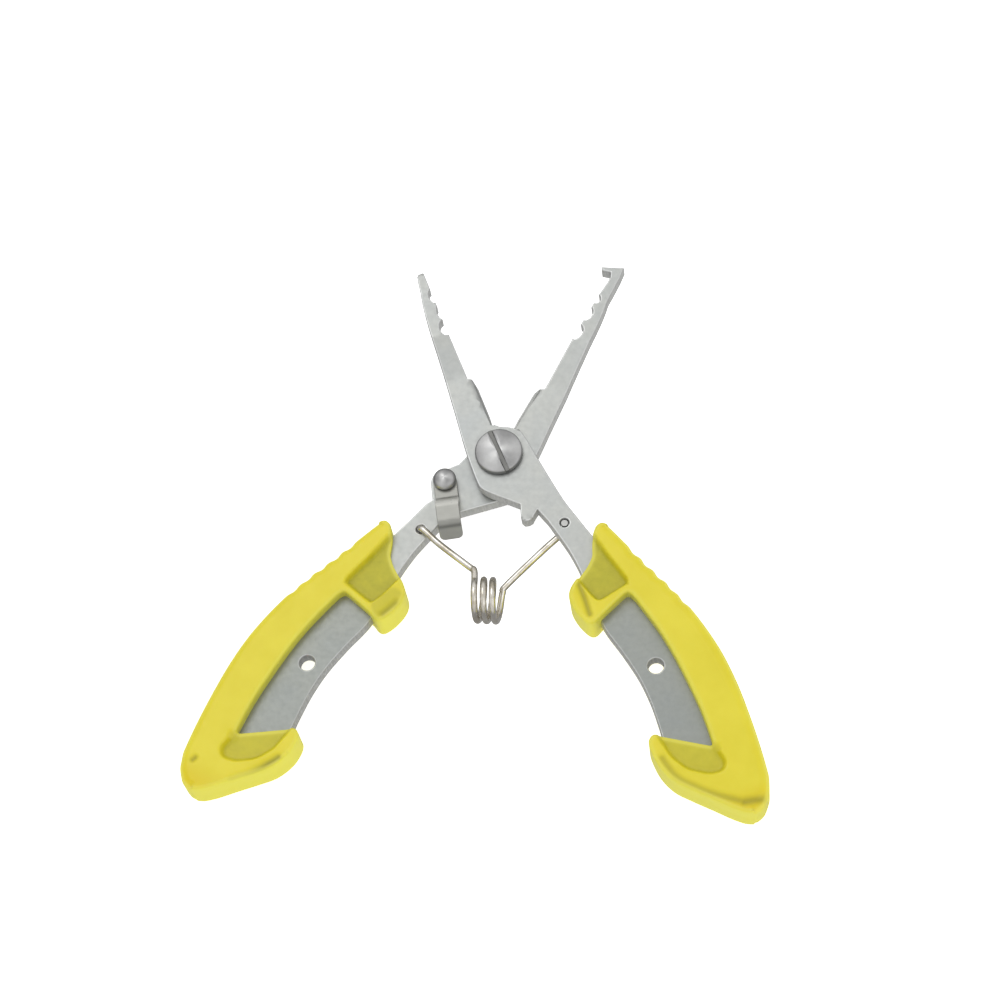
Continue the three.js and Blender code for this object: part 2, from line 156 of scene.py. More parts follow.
JAW_BACK = [
    (-2.2, 37.6), (-2.7, 35.0), (-3.15, 31.0), (-3.6, 25.0), (-3.95, 20.5), (-4.4, 15.5),
    (-4.9, 10.0), (-5.4, 5.0), (-5.7, 0.5), (-5.75, -4.2), (-5.3, -5.7), (-4.2, -7.0),
]
HANDLE_INNER = [
    (3.5, -15.9), (3.9, -17.6), (4.6, -20.6), (5.2, -24.0), (5.5, -28.5), (5.3, -34.0),
    (5.6, -39.5), (6.9, -45.0), (7.9, -50.5), (8.15, -55.5), (7.9, -60.0), (7.5, -64.5), (7.8, -68.5),
]
HANDLE_END = [(8.9, -71.6), (11.0, -74.6), (13.8, -75.8), (16.6, -74.8), (18.4, -71.5)]
HANDLE_OUTER = [
    (19.2, -66.0), (19.6, -58.0), (19.1, -50.0), (17.9, -43.0), (15.8, -36.0), (13.2, -29.3),
    (11.0, -24.4), (9.9, -21.4), (8.8, -17.4), (7.9, -14.0), (7.3, -10.6), (6.7, -6.6),
    (6.1, -2.4), (5.75, 0.5),
]
SHOULDER = [(5.2, 3.1), (3.4, 4.35), (1.9, 5.1)]
FRONT_TIP = [
    (-PARTING, JAW_LENGTH - 0.1), (-0.4, JAW_LENGTH + 0.05), (-1.2, JAW_LENGTH),
    (-1.6, JAW_LENGTH - 0.4), (-1.95, 39.4),
]
FRONT_LUG = [
    (0.0, -11.1), (-0.8, -13.8), (-0.5, -14.5), (0.3, -14.75), (1.1, -14.6), (1.85, -13.9), (2.6, -13.3),
]
REAR_TIP = [
    (-0.35, 41.0), (-0.3, 42.2), (0.1, 43.1), (1.85, 42.65), (2.15, 43.35), (-1.7, 45.05),
    (-1.95, 43.0), (-2.1, 40.5),
]
REAR_BELLY = [(2.1, -13.2), (2.8, -14.2)]
EAR_FOOT = [(7.3, -12.8)]
EAR_NECK = [(6.5, -4.2), (6.0, -2.0), (5.75, 0.5)]

GRIP_TOP = [(13.5, -22.4), (12.9, -21.2), (12.0, -20.9), (11.0, -21.3), (10.0, -22.6), (9.2, -24.2)]
GRIP_LUG = [
    (8.5, -26.2), (6.9, -27.8), (5.0, -29.1), (3.2, -30.2), (1.9, -31.6), (1.5, -33.4),
    (1.85, -35.7), (2.5, -37.5),
]
GRIP_LUG_FOOT = [(3.2, -38.7), (4.2, -38.9), (5.3, -38.2)]
GRIP_WINDOW = [
    (11.9, -36.6), (12.6, -37.8), (13.5, -41.2), (14.5, -45.6), (15.2, -50.5), (15.6, -56.0),
    (15.8, -61.0), (15.7, -65.0), (15.4, -69.1),
]
GRIP_CLIP_TOP = [(6.5, -63.3), (5.5, -63.7), (4.9, -65.1)]
GRIP_CLIP = [
    (4.95, -68.0), (6.25, -71.3), (8.45, -73.9),
    (11.3, -76.9), (13.9, -79.7), (15.8, -81.4),
]
GRIP_END = [(17.6, -82.2), (19.4, -81.5), (21.1, -79.5)]
GRIP_OUTER = [
    (22.2, -76.6), (22.9, -71.0), (23.4, -64.5), (23.6, -58.5), (23.3, -52.5), (22.4, -47.0),
    (21.0, -41.5), (19.3, -36.8), (17.3, -32.0), (15.6, -27.8), (14.2, -24.2),
]
UPPER_PANEL = [
    (9.5, -22.4), (7.0, -25.2), (3.9, -28.2), (5.4, -33.6), (6.4, -36.3), (12.9, -34.9), (11.2, -28.6),
    (10.1, -23.4),
]
LUG_BLOCK = [(4.1, -31.6), (1.0, -32.3), (0.8, -40.8), (4.6, -38.7), (6.4, -36.3), (4.9, -33.0)]
LOWER_PANEL = [
    (6.9, -62.6), (7.8, -68.4), (9.7, -71.6), (12.8, -73.7), (15.2, -74.1), (16.3, -72.8), (14.9, -66.5),
]


def spline(points, step=0.5):
    """Points about `step` apart on the smooth curve through `points`."""
    points = np.array(points, float)
    guides = np.vstack([points[:1], points, points[-1:]])
    made = []
    for i in range(len(points) - 1):
        p0, p1, p2, p3 = guides[i:i + 4]
        count = max(1, math.ceil(np.linalg.norm(p2 - p1) / step))
        for t in np.arange(count) / count:
            made.append(0.5 * (
                2 * p1 + (p2 - p0) * t + (2 * p0 - 5 * p1 + 4 * p2 - p3) * t ** 2
                + (3 * p1 - p0 - 3 * p2 + p3) * t ** 3
            ))
    made.append(points[-1])
    return np.array(made)


def arc(centre, radii, start, end, count):
    """`count` points round part of an ellipse, angles in degrees."""
    angles = np.radians(np.linspace(start, end, count))
    return np.column_stack([
        centre[0] + radii[0] * np.cos(angles), centre[1] + radii[1] * np.sin(angles),
    ])


def circle(centre, radius, count=48):
    """A clockwise hole."""
    return arc(centre, (radius, radius), 360, 360 / count, count)


def divided(loop, step):
    """The closed loop with its long sides split, corners kept."""
    made = []
    for a, b in zip(loop, np.roll(loop, -1, axis=0)):
        count = max(1, math.ceil(np.linalg.norm(b - a) / step))
        made.extend(a + (b - a) * k / count for k in range(count))
    return np.array(made)


def relaxed(loop, rounds):
    """The closed loop with its corners softened."""
    for _ in range(rounds):
        loop = 0.5 * loop + 0.25 * (np.roll(loop, 1, axis=0) + np.roll(loop, -1, axis=0))
    return loop


def tangents(line):
    """The unit direction of the open line at each of its points."""
    slope = np.gradient(line, axis=0)
    return slope / np.linalg.norm(slope, axis=1)[:, None]


def in_slices(points, rule):
    """The rule's answers for all the points, a few thousand at a time."""
    return np.concatenate([rule(points[i:i + 3000]) for i in range(0, len(points), 3000)])


def reach(points, line, closed=True):
    """Distance of each point from a loop or an open line."""
    line = np.array(line, float)
    ends = np.roll(line, -1, axis=0) if closed else line[1:]
    starts = line if closed else line[:-1]
    side = ends - starts
    squares = np.maximum((side ** 2).sum(1), TINY)

    def nearest(some):
        gap = some[:, None] - starts
        along = (gap * side).sum(2) / squares
        rest = gap - np.clip(along, 0, 1)[..., None] * side
        return np.sqrt((rest ** 2).sum(2)).min(1)

    return in_slices(points, nearest)


def within(points, loop):
    """True for each point inside the loop."""
    loop = np.array(loop, float)
    x0, y0 = loop.T
    x1, y1 = np.roll(loop, -1, axis=0).T
    rise = np.where(y1 == y0, TINY, y1 - y0)

    def crossed(some):
        x, y = some[:, :1], some[:, 1:]
        hit = ((y0 > y) != (y1 > y)) & (x < x0 + (y - y0) * (x1 - x0) / rise)
        return hit.sum(1) % 2 == 1

    return in_slices(points, crossed)


def rising(value, start, end):
    """0 before the start, 1 past the end and smooth between them."""
    share = np.clip((value - start) / (end - start), 0, 1)
    return share * share * (3 - 2 * share)


def quarter_round(depth, radius):
    """How far a rounded edge falls away at a distance `depth` in from the side."""
    depth = np.minimum(depth, radius)
    return radius - np.sqrt(np.maximum(radius ** 2 - (radius - depth) ** 2, 0))


# Meshes

class Plan:
    """Triangles filling an outline with holes, fine near the edge, and the distance in from it."""

    def __init__(self, outline, holes=(), creases=(), rings=(0.05, 0.15, 0.22), grid=1.2):
        loops = [np.array(outline)] + [np.array(hole) for hole in holes]
        points = np.vstack(loops)
        edges = []
        self.loops = []
        first = 0
        for loop in loops:
            ids = list(range(first, first + len(loop)))
            self.loops.append(ids)
            edges += list(zip(ids, ids[1:] + ids[:1]))
            first += len(loop)
        for crease in creases:
            points = np.vstack([points, crease])
            edges += [(first + i, first + i + 1) for i in range(len(crease) - 1)]
            first += len(crease)
        points = np.vstack([points, self.inner_points(loops, rings, grid)])
        made, _, faces, sources, _, _ = delaunay_2d_cdt([Vector(p) for p in points], edges, [], 0, 1e-5)
        self.points = np.array(made)
        place = {source: i for i, group in enumerate(sources) for source in group}
        self.loops = [[place[i] for i in ids] for ids in self.loops]
        faces = np.array([face for face in faces if len(face) == 3])
        centres = self.points[faces].mean(1)
        keep = within(centres, loops[0])
        for hole in loops[1:]:
            keep &= ~within(centres, hole)
        self.faces = faces[keep]
        self.depth = np.min([reach(self.points, loop) for loop in loops], axis=0)
        self.depth[np.concatenate(self.loops)] = 0

    @staticmethod
    def inner_points(loops, rings, grid):
        """Rings of points along the loops and a lattice between them, none too near an edge."""
        outline = loops[0]
        found = []
        for loop in loops:
            tangent = np.roll(loop, -1, axis=0) - np.roll(loop, 1, axis=0)
            tangent /= np.linalg.norm(tangent, axis=1)[:, None]
            inward = np.column_stack([-tangent[:, 1], tangent[:, 0]])
            found += [(loop + inward * ring, ring * 0.96) for ring in rings]
        low, high = outline.min(0), outline.max(0)
        xs, ys = (np.arange(low[k], high[k], grid) for k in (0, 1))
        lattice = np.stack(np.meshgrid(xs, ys), -1)
        lattice[1::2, :, 0] += grid / 2
        found.append((lattice.reshape(-1, 2), rings[-1] + grid * 0.45))
        kept = []
        for points, least in found:
            points = points[within(points, outline)]
            clear = np.min([reach(points, loop) for loop in loops], axis=0) >= least
            for hole in loops[1:]:
                clear &= ~within(points, hole)
            kept.append(points[clear])
        return np.vstack(kept)


def slab(plan, top, bottom, rows=1):
    """A closed sheet on a plan: heights over and under it, and walls round its loops."""
    count = len(plan.points)
    plan_xy = [plan.points, plan.points]
    heights = [top, bottom]
    faces = [tuple(face) for face in plan.faces] + [tuple(face[::-1] + count) for face in plan.faces]
    source = [np.arange(count), np.arange(count)]
    total = 2 * count
    for ids in plan.loops:
        ids = np.array(ids)
        levels = [ids + count]
        for k in range(1, rows):
            share = k / rows
            plan_xy.append(plan.points[ids])
            heights.append(bottom[ids] + (top[ids] - bottom[ids]) * share)
            source.append(ids)
            levels.append(np.arange(total, total + len(ids)))
            total += len(ids)
        levels.append(ids)
        for under, over in zip(levels, levels[1:]):
            faces += list(zip(under, np.roll(under, -1), np.roll(over, -1), over))
    points = np.column_stack([np.vstack(plan_xy), np.concatenate(heights)])
    return points, faces, np.concatenate(source)


def turned(points, angle, centre=(0, 0)):
    """Points turned about the vertical axis, then moved from it to the centre."""
    x, y, z = np.array(points, float).T
    c, s = math.cos(angle), math.sin(angle)
    return np.column_stack([centre[0] + x * c - y * s, centre[1] + x * s + y * c, z])


def turned_out(points, side):
    """Points of a half, drawn shut with its handle on the right, moved to rest on its own side."""
    return turned(np.array(points, float) * (side, 1, 1), REST[side])


def at_rest(point, side):
    """Where a point on a half's drawing is at rest, seen from above."""
    return turned_out([(*point, 0)], side)[0][:2]


def linked(name, data):
    """A new object in the scene."""
    made = bpy.data.objects.new(name, data)
    bpy.context.scene.collection.objects.link(made)
    return made


def mesh_piece(name, points, faces, material, marks=None, flip=False, sharp=None):
    """A mesh object from millimetre points, with a number on each point for each mark."""
    mesh = bpy.data.meshes.new(name)
    if flip:
        faces = [tuple(reversed(face)) for face in faces]
    mesh.from_pydata((np.array(points) * MM).tolist(), [], [tuple(map(int, face)) for face in faces])
    mesh.polygons.foreach_set("use_smooth", [True] * len(mesh.polygons))
    for mark, values in (marks or {}).items():
        layer = mesh.attributes.new(mark, "FLOAT", "POINT")
        layer.data.foreach_set("value", np.array(values, np.float32))
    if sharp:
        mesh.set_sharp_from_angle(angle=math.radians(sharp))
    mesh.materials.append(material)
    return linked(name, mesh)


def settled(piece, body, slot, *nodes):
    """The piece rides on its body and stands for its nodes, which are hidden; the slot is not used."""
    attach(piece, body)
    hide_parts(*nodes)


def lathe(profile, centre=(0, 0), sides=64):
    """A solid of revolution about Z; the profile runs up the outside from pole to pole."""
    profile = np.array(profile, float)
    angles = np.radians(np.arange(sides) * 360 / sides)
    points = [(centre[0], centre[1], profile[0][1])]
    for r, z in profile[1:-1]:
        points += [(centre[0] + r * math.cos(a), centre[1] + r * math.sin(a), z) for a in angles]
    points.append((centre[0], centre[1], profile[-1][1]))
    last = len(points) - 1
    faces = [(0, 1 + (i + 1) % sides, 1 + i) for i in range(sides)]
    for k in range(len(profile) - 3):
        lower, upper = 1 + k * sides, 1 + (k + 1) * sides
        faces += [
            (lower + i, lower + (i + 1) % sides, upper + (i + 1) % sides, upper + i) for i in range(sides)
        ]
    upper = 1 + (len(profile) - 3) * sides
    faces += [(upper + i, upper + (i + 1) % sides, last) for i in range(sides)]
    return np.array(points), faces


def eased(profile, radius, count=4):
    """The open profile with each inner corner rounded, by less than half of its shorter side."""
    profile = [np.array(p, float) for p in profile]
    made = [profile[0]]
    for before, corner, after in zip(profile, profile[1:], profile[2:]):
        sides = [before - corner, after - corner]
        lengths = [np.linalg.norm(side) for side in sides]
        cut = min(radius, *(length / 2.2 for length in lengths))
        start, end = (corner + side / length * cut for side, length in zip(sides, lengths))
        for t in np.linspace(0, 1, count + 1):
            made.append(start * (1 - t) ** 2 + 2 * corner * t * (1 - t) + end * t * t)
    made.append(profile[-1])
    return np.array(made)


# Finishes

def linear(red, green, blue):
    """A linear colour from eight-bit screen values."""
    def level(value):
        value /= 255
        return value / 12.92 if value <= 0.04045 else ((value + 0.055) / 1.055) ** 2.4
    return (level(red), level(green), level(blue), 1.0)


class Link:
    """A number or colour socket; arithmetic on numbers adds the Math nodes."""

    def __init__(self, shader, socket):
        self.shader = shader
        self.socket = socket

    def math(self, operation, *values):
        return self.shader.node("ShaderNodeMath", {"operation": operation}, dict(enumerate(values)))

    def __add__(self, other):
        return self.math("ADD", self, other)

    def __sub__(self, other):
        return self.math("SUBTRACT", self, other)

    def __rsub__(self, other):
        return self.math("SUBTRACT", other, self)

    def __mul__(self, other):
        return self.math("MULTIPLY", self, other)

    __radd__ = __add__
    __rmul__ = __mul__


class Shader:
    """The shader nodes of a material or of the world."""

    def __init__(self, owner):
        owner.use_nodes = True
        self.tree = owner.node_tree
        self.tree.nodes.clear()

    def node(self, kind, settings=None, inputs=None, output=0):
        """An output of a new node with these settings and inputs."""
        node = self.tree.nodes.new(kind)
        for name, value in (settings or {}).items():
            setattr(node, name, value)
        for name, value in (inputs or {}).items():
            if isinstance(value, Link):
                self.tree.links.new(value.socket, node.inputs[name])
            else:
                node.inputs[name].default_value = value
        return Link(self, node.outputs[output])

    def end(self, kind, surface):
        output = self.tree.nodes.new(kind)
        self.tree.links.new(surface.socket, output.inputs["Surface"])


class Finish(Shader):
    """A material built from one Principled shader."""

    def __init__(self, name):
        self.material = bpy.data.materials.new(name)
        super().__init__(self.material)
        place = self.node("ShaderNodeTexCoord", output="Object")
        self.millimetres = self.node(
            "ShaderNodeVectorMath", {"operation": "SCALE"}, {"Vector": place, "Scale": 1 / MM})

    def marks(self, *names):
        return [self.node("ShaderNodeAttribute", {"attribute_name": name}, output="Fac") for name in names]

    def from_point(self, point):
        """How far the surface is from a point seen from above, along X and along Y."""
        away = self.node("ShaderNodeVectorMath", {"operation": "SUBTRACT"}, {
            0: self.millimetres, 1: (point[0], point[1], 0.0)})
        along_x = self.node("ShaderNodeSeparateXYZ", {}, {0: away})
        return along_x, Link(self, along_x.socket.node.outputs["Y"])

    def noise(self, size, detail=2.0, roughness=0.5, stretch=None):
        """Noise from 0 to 1 whose blobs are about `size` millimetres."""
        vector = self.millimetres
        if stretch:
            vector = self.node("ShaderNodeVectorMath", {"operation": "MULTIPLY"}, {0: vector, 1: stretch})
        return self.node("ShaderNodeTexNoise", {}, {
            "Vector": vector, "Scale": 1 / size, "Detail": detail, "Roughness": roughness,
        })

    def spread(self, value, low, high):
        """The value stretched so that low gives 0 and high gives 1."""
        return self.node("ShaderNodeMapRange", {"clamp": True}, {
            "Value": value, "From Min": low, "From Max": high,
        })

    def mix(self, share, first, second, blend="MIX"):
        return self.node("ShaderNodeMix", {"data_type": "RGBA", "blend_type": blend}, {
            0: share, 6: first, 7: second,
        }, output=2)

    def layers(self, colour, *coats):
        """The colour under each coat in turn, given as (share, colour) pairs."""
        for share, coat in coats:
            colour = self.mix(share, colour, coat)
        return colour

    def bump(self, height, distance, strength):
        return self.node("ShaderNodeBump", {}, {
            "Height": height, "Distance": distance * MM, "Strength": strength,
        })

    def shade(self, **sockets):
        """Ends the material in a Principled shader with these sockets."""
        names = {key.replace("_", " ").title(): value for key, value in sockets.items()}
        self.end("ShaderNodeOutputMaterial", self.node("ShaderNodeBsdfPrincipled", {}, names))
        return self.material


def plate_finish(settings):
    """Satin blasted sheet steel: sheared sides darkened with painted shade over real shear streaks, a painted
    highlight along the arris and painted shade on the face between the grip's arms.
    """
    finish = Finish("plate_steel")
    wall, arris, grip_shade = finish.marks("wall", "arris", "grip_shade")
    drift = finish.spread(finish.noise(9.0, 3.0), 0.3, 0.7)
    mottle = finish.noise(0.9, 4.0, 0.6)
    grain = finish.noise(0.12, 2.0, 0.6)
    warm = finish.mix(drift, settings.cool_face, settings.warm_face)
    face = finish.mix(finish.spread(mottle, 0.25, 0.75) * 0.5, warm, settings.shaded_face)
    # The sheared sides and the ground bevel take painted shade: a darker colour, streaked by the real shear
    # marks.
    shear = finish.noise(0.25, 3.0, 0.6, stretch=(1.0, 1.0, 0.15))
    side = finish.mix(finish.spread(shear, 0.35, 0.7), settings.side_shade_deep, settings.side_shade)
    # Painted shade on the face between the grip's arms, where the moulding's sides would shade it.
    face = finish.mix(grip_shade, face, settings.grip_shade_face, "MULTIPLY")
    colour = finish.mix(wall, face, side)
    # Painted highlight along the worn arris, weaker in the painted shade between the grip's arms; the lower
    # roughness there is real polish.
    colour = finish.mix(arris * (0.75 - grip_shade * 0.25), colour, settings.arris)
    rough = 0.42 + (mottle - 0.5) * 0.16 + wall * 0.08 - arris * 0.14
    height = grain * 0.6 + shear * wall * 0.8
    return finish.shade(
        base_color=colour, metallic=0.88 - wall * 0.5, roughness=rough,
        normal=finish.bump(height, 0.012, 0.35))


def grip_finish(settings):
    """Translucent satin plastic, cloudy in its depth and darker where it is thin over the steel, with painted
    shade in its grooves and a painted highlight along its rounded edges.
    """
    finish = Finish("grip_plastic")
    sunk, shaded_groove, tip, rim, side = finish.marks("sunk", "shaded_groove", "tip", "rim", "side")
    cloud = finish.spread(finish.noise(7.0, 3.0, 0.55), 0.3, 0.7)
    wisps = finish.spread(finish.noise(1.6, 4.0, 0.6), 0.3, 0.75)
    olive = finish.mix(wisps, settings.sunk, settings.sunk_light)
    # Painted shade at the groove bottoms and a painted highlight along the rounded edges.
    colour = finish.layers(
        settings.body, (cloud, settings.body_light), (tip, settings.tip), (sunk, olive),
        (shaded_groove, settings.shaded_groove), (side, settings.side), (rim * 0.45, settings.rim))
    grain = finish.noise(0.16, 3.0, 0.6)
    ripple = finish.noise(1.2, 2.0, 0.5)
    rough = 0.36 + (wisps - 0.5) * 0.1 + sunk * 0.08
    normal = finish.bump(grain * 0.5 + ripple, 0.035, 0.35)
    return finish.shade(
        base_color=colour, roughness=rough, normal=normal, subsurface_weight=0.22,
        subsurface_radius=(1.0, 0.85, 0.25), subsurface_scale=1.4 * MM, coat_weight=0.06,
        coat_roughness=0.22)


def turned_finish(settings, name, centre):
    """Bright turned steel: fine rings round the piece's own axis, with wedges of light and dark, and painted
    shade in the slot and on the sides.
    """
    finish = Finish(name)
    x, y = finish.from_point(centre)
    radius = x.math("SQRT", x * x + y * y)
    rings = finish.node("ShaderNodeTexNoise", {"noise_dimensions": "1D"}, {
        "W": radius, "Scale": 9.0, "Detail": 4.0, "Roughness": 0.7,
    })
    angle = x.math("ARCTAN2", y, x)
    wedge = x.math("SINE", angle * 3.0 + 0.9) * 0.5 + 0.5
    patch = finish.spread(finish.noise(1.3, 3.0, 0.6), 0.3, 0.7)
    [wall] = finish.marks("wall")
    light = wedge * 0.7 + patch * 0.3
    # Painted shade in the slot, on the head's side and on the hidden shank.
    colour = finish.layers(settings.shaded, (light, settings.bright), (wall, settings.recess_shade))
    rough = 0.32 + (rings - 0.5) * 0.18 + patch * 0.06
    normal = finish.bump(rings + patch * 0.6, 0.02, 0.3)
    return finish.shade(base_color=colour, metallic=1.0, roughness=rough, normal=normal)


def clasp_finish(settings):
    """Bent sheet, brushed across its width, with a painted highlight on the crest of its upper bend, painted
    shade in its lower bend and painted light on its turned-down end.
    """
    finish = Finish("clasp_steel")
    crest, fold, flange = finish.marks("crest", "fold", "flange")
    brush = finish.noise(0.5, 4.0, 0.6, stretch=(0.35, 2.6, 1.0))
    drift = finish.spread(finish.noise(2.4, 2.0), 0.3, 0.7)
    strokes = finish.spread(brush, 0.3, 0.7) * 0.5 + drift * 0.5
    # Painted highlight on the crest, painted shade in the lower bend and painted light on the turned-down
    # end.
    colour = finish.layers(
        settings.face, (strokes, settings.face_light), (flange, settings.flange),
        (crest, settings.crest), (fold, settings.fold))
    rough = 0.36 + (brush - 0.5) * 0.2 - crest * 0.06
    return finish.shade(
        base_color=colour, metallic=0.85 - (flange + crest) * 0.5, roughness=rough,
        normal=finish.bump(brush, 0.02, 0.3))


def wire_finish(settings):
    """Polished spring wire with a warm draw line and darker stains, and painted shade on its end inside the
    front half's hole.
    """
    finish = Finish("spring_wire")
    # Painted shade on the wire's end inside the front half's hole.
    x, y = finish.from_point(at_rest(WIRE_HOLE[FRONT], FRONT))
    cut = finish.spread(x * x + y * y, 0.9, 0.5)
    stain = finish.spread(finish.noise(2.2, 3.0, 0.6), 0.4, 0.75)
    draw = finish.noise(0.3, 3.0, 0.6, stretch=(0.2, 1.0, 1.0))
    colour = finish.layers(settings.bright, (stain, settings.warm), (cut, settings.cut))
    rough = 0.11 + draw * 0.12 + stain * 0.08
    return finish.shade(
        base_color=colour, metallic=1.0, roughness=rough, normal=finish.bump(draw, 0.01, 0.25))


# Sizes and colours

def colour_setting(name, text, shade):
    return bpy.props.FloatVectorProperty(
        name=name, description=text, subtype="COLOR", size=4, min=0, max=1, default=linear(*shade))


def number_setting(name, text, value, least=0, **kind):
    return bpy.props.FloatProperty(name=name, description=text, default=value, min=least, **kind)


def length_setting(name, text, value):
    return number_setting(name, text, value * MM, subtype="DISTANCE", unit="LENGTH", precision=5)


class HalvesSettings(bpy.types.PropertyGroup):
    edge_round: length_setting("Edge Round", "Radius worn on the plate's arrises", 0.18)
    cool_face: colour_setting("Cool Face", "Blasted face, cooler patches", (181, 184, 183))
    warm_face: colour_setting("Warm Face", "Blasted face, warmer patches", (189, 190, 185))
    shaded_face: colour_setting("Shaded Face", "Low spots of the blasting", (171, 174, 172))
    # Painted shade on the sheared sides: the deep colour in the shear streaks, the other on the rest.
    side_shade_deep: colour_setting("Dark Side", "Deep marks on the sheared sides", (128, 128, 125))
    side_shade: colour_setting("Light Side", "Sheared sides", (172, 173, 170))
    # Painted highlight on the polished arris.
    arris: colour_setting("Arris", "Polished arris", (250, 251, 250))
    # Painted shade on the face between the grip's arms.
    grip_shade_face: colour_setting("Held Face", "Tint of the face between the grip's arms", (216, 218, 216))


class GripSettings(bpy.types.PropertyGroup):
    edge_round: length_setting("Edge Round", "Radius of the outer edges", 1.7)
    window_round: length_setting("Window Round", "Radius of the edges round the window", 0.7)
    panel_depth: length_setting("Panel Depth", "Depth of the sunk panels", 1.6)
    scallop_depth: length_setting("Scallop Depth", "Depth of the thumb scallops", 0.4)
    body: colour_setting("Body", "Moulding", (232, 217, 36))
    body_light: colour_setting("Body Light", "Cloudy patches of the moulding", (239, 225, 52))
    tip: colour_setting("Tip", "Solid end of the moulding", (232, 211, 6))
    sunk: colour_setting("Sunk", "Thin skin over the plate", (186, 180, 30))
    sunk_light: colour_setting("Sunk Light", "Lighter patches of the thin skin", (203, 195, 48))
    # Painted shade at the bottom of the grooves.
    shaded_groove: colour_setting("Groove", "Bottom of the grooves", (146, 138, 20))
    side: colour_setting("Side", "Light leaving the sides", (222, 216, 60))
    # Painted highlight along the moulding's rounded edges.
    rim: colour_setting("Rim", "Bright edge of the moulding", (246, 238, 110))


class ScrewSettings(bpy.types.PropertyGroup):
    slot_width: length_setting("Slot Width", "Width of the screw's slot", 0.8)
    slot_depth: length_setting("Slot Depth", "Depth of the screw's slot below its rim", 0.1)
    bright: colour_setting("Bright", "Turned face catching the light", (206, 206, 205))
    shaded: colour_setting("Shaded", "Turned face out of the light", (158, 158, 158))
    # Painted shade in the slot and on the side.
    recess_shade: colour_setting("Recess", "Slot and side", (112, 112, 110))


class ClaspSettings(bpy.types.PropertyGroup):
    sheet: length_setting("Sheet", "Thickness of the clasp's sheet", 0.8)
    bend: length_setting("Bend", "Radius of its bends", 0.7)
    face: colour_setting("Face", "Brushed face", (150, 150, 145))
    face_light: colour_setting("Face Light", "Lighter brush marks", (166, 166, 160))
    # Painted light on the turned-down end, which faces away from the lamps.
    flange: colour_setting("Flange", "Turned-down end", (168, 169, 165))
    # Painted highlight on the crest of the upper bend.
    crest: colour_setting("Crest", "Polished crest of the upper bend", (212, 212, 205))
    # Painted shade in the lower bend.
    fold: colour_setting("Fold", "Dark line at the lower bend", (84, 84, 80))


class SpringSettings(bpy.types.PropertyGroup):
    wire_radius: length_setting("Wire Radius", "Radius of the wire", 0.62)
    coil_radius: length_setting("Coil Radius", "Radius of the coil's centre line", 3.75)
    pitch: length_setting("Pitch", "Advance of the coil in a turn", 1.66)
    sides: bpy.props.IntProperty(name="Sides", description="Sides of the wire", default=20, min=8, max=48)
    bright: colour_setting("Bright", "Polished wire", (236, 232, 224))
    # Painted shade on the wire's end inside the front half's hole.
    cut: colour_setting("Cut", "Dull cut end in the front half's hole", (150, 150, 148))
    warm: colour_setting("Warm", "Stained stretches of wire", (186, 177, 158))


class StageSettings(bpy.types.PropertyGroup):
    floor: colour_setting("Floor", "Floor sheet", (250, 250, 250))
    glow: number_setting("Glow", "Light through the floor sheet", 0.8)
    key: number_setting("Key", "Power of the key light in watts", 0.8)
    fill: number_setting("Fill", "Power of the fill light in watts", 0.4)
    sky: number_setting("Sky", "Strength of the room's light", 0.85)
    distance: number_setting("Distance", "Camera to pivot", 0.55, 0.1, subtype="DISTANCE", unit="LENGTH")
    lens: number_setting("Lens", "Focal length in millimetres", 107.1, 20)


# Halves

def outline_of_half(side):
    """A half's outline, drawn shut, anticlockwise from the tip of its jaw."""
    notches = [
        arc((-PARTING, middle), (depth, half), 270, 90, 12) for middle, half, depth in NOTCHES[side]
    ]
    blade = [
        (0.95, BLADE_ROOT), (BLADE_LAP, BLADE_ROOT + 2.6), (BLADE_LAP, BLADE_TOP - 1.2), (0.7, BLADE_TOP),
        (-PARTING, BLADE_TOP + 0.5),
    ]
    if side == FRONT:
        tip, belly, outer = FRONT_TIP, FRONT_LUG, [spline(HANDLE_OUTER)]
    else:
        tip, belly = REAR_TIP, REAR_BELLY
        below_ear = [p for p in HANDLE_OUTER if p[1] < RIVET[1] - 5]
        ear = arc(RIVET, (EAR_RADIUS, EAR_RADIUS), -35, 62, 16)
        outer = [spline(below_ear), EAR_FOOT, ear, EAR_NECK]
    handle = [spline(HANDLE_INNER), spline(HANDLE_END), *outer]
    stretches = [tip, spline(JAW_BACK), belly, *handle, SHOULDER, blade, *notches]
    return divided(np.vstack(stretches), 0.45)


